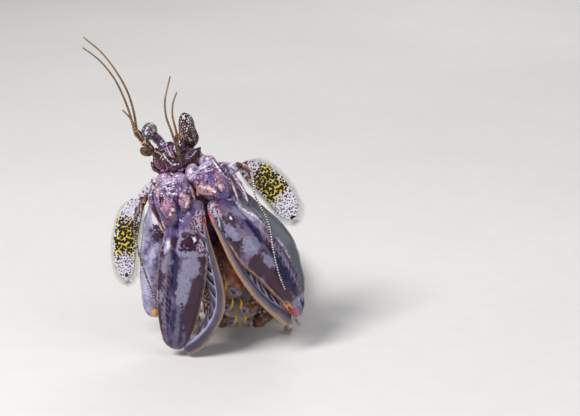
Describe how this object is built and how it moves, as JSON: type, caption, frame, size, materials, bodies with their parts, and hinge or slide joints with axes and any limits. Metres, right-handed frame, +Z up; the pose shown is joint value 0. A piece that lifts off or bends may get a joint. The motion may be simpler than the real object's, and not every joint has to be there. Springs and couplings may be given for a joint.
{
  "type": "mantis shrimp model",
  "caption": "Life-size still model of a spearing mantis shrimp with raised front, folded toothed claws and a low ringed tail.",
  "frame": {"origin": "middle of the model's bounding box at floor level", "axes": "-Y the way the animal faces, +X its left side, +Z up"},
  "size_m": [0.0598, 0.137, 0.09],
  "materials": {
    "shell": "satin, ridged plates, mauve and brown",
    "claw": "satin, marbled pale lilac and dark purple-brown",
    "head": "satin, maroon with pale stripes",
    "belly": "satin, orange-brown with pale beads",
    "limb": "satin, pale brown",
    "eye": "glossy, brown with rows of pale spots",
    "feeler": "satin, golden brown with dark bands",
    "scale": "satin, white and yellow with dark brown dots",
    "fan": "satin, ochre"
  },
  "bodies": {
    "root": {"head_shield": "shell", "head_and_chest": "belly", "chest_ring_5": "shell", "chest_ring_6": "shell", "chest_ring_7": "shell", "chest_ring_8": "shell", "tail_ring_1": "shell", "tail_ring_2": "shell", "tail_ring_3": "shell", "tail_ring_4": "shell", "tail_ring_5": "shell", "tail_ring_6": "shell", "telson": "shell", "swimmeret_1_left": "belly", "swimmeret_1_right": "belly", "swimmeret_2_left": "belly", "swimmeret_2_right": "belly", "swimmeret_3_left": "belly", "swimmeret_3_right": "belly", "swimmeret_4_left": "belly", "swimmeret_4_right": "belly", "swimmeret_5_left": "belly", "swimmeret_5_right": "belly", "tail_fan_left": "fan", "tail_fan_right": "fan", "antennule_ring": "head", "eye_ring": "head", "nose_plate": "head", "upper_lip": "head", "claw_wrist_right": "claw", "claw_palm_right": "claw", "claw_finger_right": "claw", "claw_arm_right": "claw", "claw_root_right": "limb", "claw_wrist_left": "claw", "claw_palm_left": "claw", "claw_finger_left": "claw", "claw_arm_left": "claw", "claw_root_left": "limb", "walking_leg_1_left": "limb", "walking_leg_1_right": "limb", "walking_leg_2_left": "limb", "walking_leg_2_right": "limb", "walking_leg_3_left": "limb", "walking_leg_3_right": "limb", "mouth_limb_3_right": "belly", "mouth_limb_3_left": "belly", "mouth_limb_4_right": "belly", "mouth_limb_4_left": "belly", "mouth_limb_5_right": "belly", "mouth_limb_5_left": "belly", "eye_left": "eye", "eye_right": "eye", "antennule_left": "feeler", "antennule_right": "feeler", "antenna_left": "scale", "antenna_right": "scale", "antenna_scale_left": "scale", "antenna_scale_right": "scale"}
  },
  "joints": []
}
